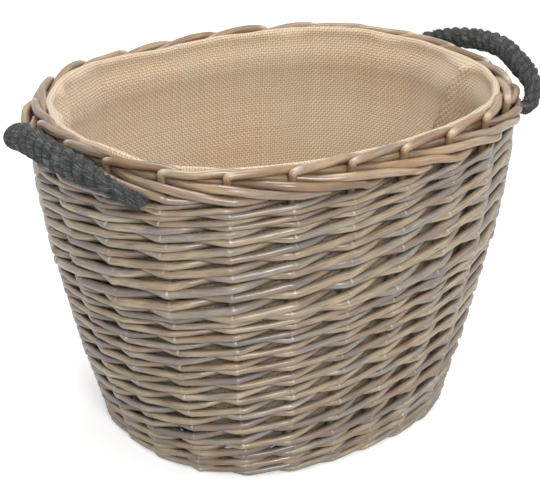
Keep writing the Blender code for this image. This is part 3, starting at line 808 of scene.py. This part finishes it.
def base_rod_rows(strand, rings):
    """Over one stick and under the next; two rods take turns ring by ring."""
    ends = spokes()
    count = len(ends)
    room = BASE_TOP - BASE_HEIGHT - BASE_ROD_DIAMETER / 2 - 0.001
    rows = []
    for ring in range(strand, rings, 2):
        for number, (inner, outer, diameter, first) in enumerate(ends):
            share = (ring + 2 * number / count) / (rings + 1)
            last = 1 - (FOOT_LENGTH - STICK_END_ROOM) / (outer - inner).length
            here = inner + (outer - inner) * (first + (last - first) * share)
            side = 1 if (number + strand) % 2 == 0 else -1
            lift = min((diameter + BASE_ROD_DIAMETER) / 2 * 1.1, room)
            rows.append((here.x, here.y, here.z + side * lift))
    return rows


def make_base():
    chance = random.Random(11)
    sticks = [(f"base_cross_stick_{i + 1}", cross_stick_points(i), CROSS_STICK_DIAMETER, 12)
              for i in range(CROSS_STICKS)]
    sticks += [(f"base_long_stick_{i + 1}", long_stick_points(i), LONG_STICK_DIAMETER, 10)
               for i in range(LONG_STICKS)]
    for name, points, diameter, sides in sticks:
        path = eased([tuple(p) for p in points], 8)
        ends = np.minimum(np.arange(len(path)), np.arange(len(path))[::-1])
        radii = diameter / 2 * (0.94 + 0.06 * np.clip(ends / 6, 0, 1))
        obj = rods(name + "_round", [{
            "path": path, "radii": radii, "tint": chance.random(), "start": chance.uniform(0, 30),
        }], sides, BASE_WILLOW)
        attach(obj, "basket")
        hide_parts(name)
    for strand in range(2):
        name = f"base_rod_{strand + 1}"
        path = eased(base_rod_rows(strand, BASE_RINGS), 4)
        obj = rods(name + "_willow", [{
            "path": path, "radii": BASE_ROD_DIAMETER / 2, "tint": chance.random(),
            "start": chance.uniform(0, 30),
        }], 8, WALE_WILLOW)
        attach(obj, "basket")
        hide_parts(name)


# ---- rope handles ----

# For each side: the loop's route, its size at both ends and in full, as shares of the
# rope's thickness, and how far it hangs lower near its far end
LOOPS = {
    "left": (LEFT_LOOP_ROUTE, (0.70, 0.60), 1.13, 0.0090),
    "right": (LOOP_ROUTE, (0.70, 0.76), 1.02, 0.0),
}
ROPE_SIDES = 48
ROPE_STEP = 0.0015
ROPE_BLUNT = 0.008        # length of the rounded end
ROPE_WOBBLE = (           # waves around it, waves along it, amount
    (1, 90, 0.022), (2, 160, 0.022), (3, 260, 0.024), (5, 420, 0.018), (8, 700, 0.014),
)
FIBRES = 5200
FIBRE_SHAPE = (           # share of its reach, share of its rise
    (0.0, 0.0), (0.35, 0.75), (0.75, 0.95), (1.0, 0.55),
)


def handle_line(windows):
    """Where a rope comes out and goes in, and the way out of the wall between them."""
    first, second = (ring_point(window, ROPE_AXIS_OUT, WINDOW_HEIGHT) for window in windows)
    along = second - first
    out = Vector((-along.y, along.x, 0.0)).normalized()
    return first, second, out if out.dot(first + second) > 0 else -out


def rope_leg(window, turn):
    """A tail inside the wall, from its end to the place where the rope comes out."""
    level = Vector((0.0, 0.0, 1.0))
    inside = (STAKE_DIAMETER + ROPE_WAIST) / 2 + TAIL_GAP
    here = ring_point(window, 0, WINDOW_HEIGHT)
    spacing = (here - ring_point(window + 1, 0, WINDOW_HEIGHT)).length
    leg = []
    for run, outwards in (
            (TAIL_RUN, -inside), (TAIL_RUN * 0.7, -inside), (TAIL_RUN * 0.45, -inside),
            (TAIL_BEND, -inside + 0.001), (0.3 * TAIL_BEND, 0.3 * TAIL_BEND - inside),
            (0.0, 0.0)):
        p = ring_point(window + turn * run / spacing, outwards, WINDOW_HEIGHT)
        squeezed = outward(window, WINDOW_HEIGHT) if outwards < -0.011 else level
        leg.append((*p, *squeezed, 0.92, ROPE_TAIL_SIZE))
    p = ring_point(window, 0.012, WINDOW_HEIGHT)
    leg.append((*p, *level, 0.92, ROPE_TAIL_SIZE + 0.06))
    return leg


def rope_route(side, windows, angle):
    """Centre line of one rope: first tail, loop, second tail, and how it is squeezed. A row
    is x, y, z, the squeezed direction, what is left of its thickness there, and its size."""
    first, second, out = handle_line(windows)
    rise = math.radians(angle)
    reach = out * math.cos(rise) + Vector((0.0, 0.0, math.sin(rise)))
    legs = rope_leg(windows[0], -1), rope_leg(windows[1], 1)
    rows = legs[0]
    route, ends, full, hang = LOOPS[side]
    for share, depth in route:
        p = first + (second - first) * share + reach * LOOP_DEPTH * depth
        p.z -= hang * math.exp(-((share - 0.10) / 0.14) ** 2)
        end = ends[0] if share < 0.5 else ends[1]
        size = end + (full - end) * step(min(share, 1 - share) / 0.24)
        rows.append((*p, 0.0, 0.0, 1.0, 0.95, size))
    rows += list(reversed(legs[1]))
    rows = np.array(rows)
    last = len(rows) - 1
    for i in range(len(rows)):
        rows[i, 2] -= ROPE_DIP * (1 - step((min(i, last - i) - 7) / 3))
    return rows


def rope_wobble(run, turn, chance):
    """A little thicker or thinner from place to place, so that no lay is like the next."""
    wobble = np.ones((len(run), len(turn)))
    for around, along, amount in ROPE_WOBBLE:
        wave = np.sin(run * along + chance.uniform(0, 6))[:, None]
        wobble += amount * wave * np.sin(around * turn + chance.uniform(0, 6))[None, :]
        wave = np.cos(run * along * 0.83)[:, None]
        wobble += amount * wave * np.cos(around * turn + chance.uniform(0, 6))[None, :]
    return wobble


def make_rope(side, windows, angle):
    rows = eased(rope_route(side, windows, angle), 6)
    along = walked(rows[:, :3])
    count = int(along[-1] / ROPE_STEP)
    run = np.linspace(0, along[-1], count)
    rows = np.stack([np.interp(run, along, column) for column in rows.T], axis=1)
    path, pressed, left, size = rows[:, :3], rows[:, 3:6], rows[:, 6], rows[:, 7]
    tangent, across, up = frames(path)

    # Three strands laid round each other, with blunt ends
    turn = np.arange(ROPE_SIDES) * 2 * math.pi / ROPE_SIDES
    lobes = np.sqrt(np.cos(1.5 * turn) ** 2 + 0.03)
    shape = ROPE_DIAMETER / 2 * (1.0 - 0.24 * (1.0 - lobes))
    ends = np.clip(np.minimum(run, run[-1] - run) / ROPE_BLUNT, 0, 1)
    blunt = np.sqrt(np.clip(1 - (1 - ends) ** 2, 0.02, 1))
    spin = run * 2 * math.pi / ROPE_LAY + 0.25 * np.sin(run * 47) + 0.15 * np.sin(run * 113 + 1)
    phi = turn[None, :] + spin[:, None]
    wobble = rope_wobble(run, turn, np.random.RandomState(8 if side == "left" else 9))
    offset = np.cos(phi)[..., None] * across[:, None, :] + np.sin(phi)[..., None] * up[:, None, :]
    offset = offset * (shape[None, :] * wobble * (blunt * size)[:, None])[..., None]

    # Squeezed where it passes through the weave
    pressed = pressed - tangent * np.sum(pressed * tangent, axis=1)[:, None]
    pressed /= np.linalg.norm(pressed, axis=1)[:, None]
    flat = np.sum(offset * pressed[:, None, :], axis=2) * (1 - left)[:, None]
    offset = offset - flat[..., None] * pressed[:, None, :]

    verts = (path[:, None, :] + offset).reshape(-1, 3)
    faces = tube_faces(count, ROPE_SIDES)
    radius = ROPE_DIAMETER / 2
    grain = np.stack([(np.cos(phi) * radius).ravel(), (np.sin(phi) * radius).ravel(),
                      np.repeat(run, ROPE_SIDES)], axis=1)
    # Painted shade in the valleys between the strands
    valley_shade = np.tile(np.clip((0.75 - lobes) / 0.60, 0, 1) ** 1.3, count)
    verts, faces, grain, valley_shade = add_fibres(
        verts, faces, grain, valley_shade, path, offset, tangent,
        np.random.RandomState(3 if side == "left" else 4))
    obj = mesh_object(f"{side}_rope_laid", verts, faces, CHARCOAL_ROPE,
                      values=(("valley_shade", valley_shade),), vectors=(("grain", grain),))
    first, second, out = handle_line(windows)
    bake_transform(obj)
    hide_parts(f"{side}_handle_rope", f"{side}_rope_tail_first", f"{side}_rope_tail_second")
    print(side, "rope length", round(float(run[-1]), 3))


def add_fibres(verts, faces, grain, valley_shade, path, offset, tangent, chance):
    """Loose fibres that stand off the rope, as narrow bent ribbons."""
    count, sides = offset.shape[:2]
    more, more_faces, more_grain = [], [], []
    base = len(verts)
    for _ in range(FIBRES):
        i, j = chance.randint(6, count - 6), chance.randint(0, sides)
        out = offset[i, j] / np.linalg.norm(offset[i, j])
        start = path[i] + offset[i, j] - out * 0.0003
        lean = tangent[i] * chance.normal(0, 1.0)
        lean = lean + np.cross(out, tangent[i]) * chance.normal(0, 1.0)
        lean /= np.linalg.norm(lean)
        reach, rise = chance.uniform(0.003, 0.009), chance.uniform(0.0004, 0.0021)
        wide = np.cross(lean, out) * chance.uniform(0.00010, 0.00020)
        for share, lifted in FIBRE_SHAPE:
            p = start + lean * reach * share + out * rise * lifted
            more += [p - wide, p + wide]
            more_grain += [grain[i * sides + j]] * 2
        for _ in FIBRE_SHAPE[1:]:
            more_faces.append((base, base + 1, base + 3, base + 2))
            base += 2
        base += 2
    return (np.vstack([verts, more]), faces + more_faces, np.vstack([grain, more_grain]),
            np.concatenate([valley_shade, np.zeros(len(more))]))


# ---- liner ----

LINER_FOLDS = (           # place in stakes, lean in stakes from hem to floor, depth, half width
    (17.25, 3.2, 0.009, 0.95),
    (17.05, 3.2, 0.009, 0.17),
    (4.6, 0.6, 0.010, 0.70),
    (3.4, 0.9, 0.007, 0.40),
    (19.4, 0.3, 0.004, 0.60),
    (8.6, 0.2, 0.006, 0.40),
    (9.5, 0.1, 0.004, 0.30),
    (2.6, 0.2, 0.005, 0.80),
    (5.6, -0.2, 0.005, 0.60),
    (21.6, 0.2, 0.004, 0.70),
)
HEM_LIFT = 0.0095         # the hem lies up on the border at one place
HEM_LIFT_AT = 6.95        # in stakes
HEM_LIFT_WIDTH = 0.6
LINER_PROFILE = (         # depth below the border's top, inset from the stakes
    (0.0100, 0.0120), (0.0062, 0.0122), (0.0040, 0.0140), (0.0032, 0.0165), (0.0042, 0.0190),
    (0.0075, 0.0204), (0.0120, 0.0197), (0.0165, 0.0192), (0.0215, 0.0205), (0.0270, 0.0226),
    (0.0340, 0.0236), (0.0420, 0.0235), (0.0510, 0.0222), (0.0620, 0.0190), (0.0760, 0.0165),
    (0.0950, 0.0152), (0.1200, 0.0150), (0.1600, 0.0150), (0.2100, 0.0150), (0.2600, 0.0150),
    (0.3100, 0.0150), (0.3450, 0.0150), (0.3600, 0.0150), (0.3680, 0.0165), (0.3740, 0.0205),
    (0.3785, 0.0270), (0.3804, 0.0350),
)
LINER_COLUMNS = 432
FLOOR_SHARES = (0.80, 0.60, 0.40, 0.20, 0.02)
FLOOR_RUN = 0.18          # of cloth from the wall to the middle of the base
LINER_THICKNESS = 0.0012


def fold_depth(stake, below):
    """How far the cloth stands in from the wall in its folds."""
    fade = (1.0 - step((below - 0.20) / 0.14)) * step((below - 0.002) / 0.012)
    depth = 0.0
    for centre, lean, fold, half_width in LINER_FOLDS:
        away = stake - (centre + lean * below / HEIGHT)
        away = abs((away + STAKE_COUNT / 2) % STAKE_COUNT - STAKE_COUNT / 2)
        if away < half_width:
            depth += fold * fade * (1 - step(away / half_width)) ** 1.5
    return depth


def liner_point(stake, below, inset):
    """One point of the cloth, with its folds, its uneven rim and the loose place of its hem."""
    wave = 0.0007 * math.sin(stake * 2.9 + 1.0) + 0.0005 * math.sin(stake * 6.1)
    ease = 1.0 - step((below - 0.30) / 0.06)
    depth = inset + (fold_depth(stake, below) + abs(wave) * 1.2) * ease
    dip = 0.0012 * math.sin(stake * 1.7 + 0.6) + 0.0008 * math.sin(stake * 4.3)
    dip *= 1 - step(below / 0.05)
    loose = HEM_LIFT * math.exp(-((stake - HEM_LIFT_AT) / HEM_LIFT_WIDTH) ** 2)
    loose *= 1 - step(below / 0.035)
    lift = rim_lift(stake) * (1 - step(below / 0.06)) + loose
    return ring_point(stake, -(depth - loose * 0.9), HEIGHT - below - max(dip, -0.0002) + lift)


def make_liner():
    profile = eased(LINER_PROFILE, 3)
    rows = [[tuple(liner_point(column * STAKE_COUNT / LINER_COLUMNS, below, inset))
             for column in range(LINER_COLUMNS)] for below, inset in profile]
    falls = list(walked(profile))
    floor, floor_fall = np.array(rows[-1]), falls[-1]
    for share in FLOOR_SHARES:
        ring = floor.copy()
        ring[:, :2] *= share
        rows.append([tuple(p) for p in ring])
        falls.append(floor_fall + (1 - share) * FLOOR_RUN)
    faces, uvs = [], []
    for row in range(len(rows) - 1):
        a, b = row * LINER_COLUMNS, (row + 1) * LINER_COLUMNS
        for c in range(LINER_COLUMNS):
            d = (c + 1) % LINER_COLUMNS
            faces.append((a + d, a + c, b + c, b + d))
            left = c / LINER_COLUMNS * LINER_GIRTH
            right = (c + 1) / LINER_COLUMNS * LINER_GIRTH
            uvs += [(right, falls[row]), (left, falls[row]),
                    (left, falls[row + 1]), (right, falls[row + 1])]
    last = (len(rows) - 1) * LINER_COLUMNS
    faces.append(tuple(last + c for c in reversed(range(LINER_COLUMNS))))
    uvs += [(0.0, falls[-1])] * LINER_COLUMNS
    obj = mesh_object("hessian_liner_cloth", np.array(rows).reshape(-1, 3), faces, HESSIAN)
    layer = obj.data.uv_layers.new(name="cloth")
    layer.data.foreach_set("uv", np.array(uvs, np.float32).ravel())
    wall = obj.modifiers.new("cloth", "SOLIDIFY")
    wall.thickness = LINER_THICKNESS
    wall.offset = 0.0
    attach(obj, "basket")
    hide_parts("hessian_liner")


# ---- floor, lights, camera ----

FLOOR_SIZE = 9.0
FLOOR_GREY = 0.80
FLOOR_GLOW = 0.40         # seen by the camera only, so that the floor has no edge
WORLD_LIGHT = 0.74
WORLD_SEEN = 0.26         # more of it for the camera and for shiny surfaces
LAMPS = (                 # name, place, size, watts
    ("key", (-1.05, -2.25, 1.75), 0.8, 42),
    ("fill", (2.0, -1.5, 1.6), 1.4, 10),
    ("top", (0.2, 0.3, 2.8), 1.2, 34),
)
LAMP_TARGET = (0, 0, 0.25)

# The camera that was fitted to the photograph's outlines
CAMERA_PLACE = (-1.0831, -1.4373, 1.0345)
CAMERA_BACK = (-0.5466, -0.7253, 0.4186)
CAMERA_AZIMUTH = -37.0    # degrees
CAMERA_ROLL = 0.415       # degrees
CAMERA_LENS = 106.97      # for a sensor of 36 mm
CAMERA_SHIFT = (-0.01033, -0.01037)


def add_lamp(name, place, size, power):
    lamp = bpy.data.lights.new(name, "AREA")
    lamp.shape = "RECTANGLE"
    lamp.size = lamp.size_y = size
    lamp.energy = power
    obj = bpy.data.objects.new(name, lamp)
    bpy.context.scene.collection.objects.link(obj)
    obj.location = place
    aim = Vector(LAMP_TARGET) - obj.location
    obj.rotation_euler = aim.to_track_quat("-Z", "Y").to_euler()


def make_stage():
    bpy.ops.mesh.primitive_plane_add(size=FLOOR_SIZE, location=(0, 0, 0))
    floor = bpy.context.object
    floor.name = "floor"
    made, tree, shader = new_material("floor_finish")
    shader.inputs["Base Color"].default_value = (FLOOR_GREY, FLOOR_GREY, FLOOR_GREY, 1)
    shader.inputs["Roughness"].default_value = 0.9
    shader.inputs["Emission Color"].default_value = (1, 1, 1, 1)
    ray = node(tree, "LightPath")
    glow = maths(tree, "MULTIPLY", ray.outputs["Is Camera Ray"], FLOOR_GLOW)
    tree.links.new(glow, shader.inputs["Emission Strength"])
    floor.data.materials.append(made)
    world = bpy.data.worlds.new("studio")
    bpy.context.scene.world = world
    world.use_nodes = True
    tree = world.node_tree
    back = tree.nodes["Background"]
    back.inputs["Color"].default_value = (1, 1, 1, 1)
    ray = node(tree, "LightPath")
    seen = maths(tree, "MAXIMUM", ray.outputs["Is Camera Ray"], ray.outputs["Is Glossy Ray"])
    tree.links.new(times_plus(tree, seen, WORLD_SEEN, WORLD_LIGHT), back.inputs["Strength"])
    for lamp in LAMPS:
        add_lamp(*lamp)


def make_camera():
    azimuth, roll = math.radians(CAMERA_AZIMUTH), math.radians(CAMERA_ROLL)
    back = Vector(CAMERA_BACK).normalized()
    right = Vector((math.cos(azimuth), math.sin(azimuth), 0.0))
    up = back.cross(right)
    across = right * math.cos(roll) + up * math.sin(roll)
    upright = up * math.cos(roll) - right * math.sin(roll)
    lens = bpy.data.cameras.new("camera")
    lens.sensor_width = 36.0
    lens.lens = CAMERA_LENS
    lens.shift_x, lens.shift_y = CAMERA_SHIFT
    camera = bpy.data.objects.new("camera", lens)
    bpy.context.scene.collection.objects.link(camera)
    x, y, z = CAMERA_PLACE
    camera.matrix_world = Matrix((
        (across.x, upright.x, back.x, x), (across.y, upright.y, back.y, y),
        (across.z, upright.z, back.z, z), (0.0, 0.0, 0.0, 1.0),
    ))
    bpy.context.scene.camera = camera


make_camera()
for handle in HANDLES:
    make_rope(*handle)
make_stakes()
make_wale()
make_base()
make_liner()
make_stage()
scene = bpy.context.scene
scene.view_settings.view_transform = "Standard"
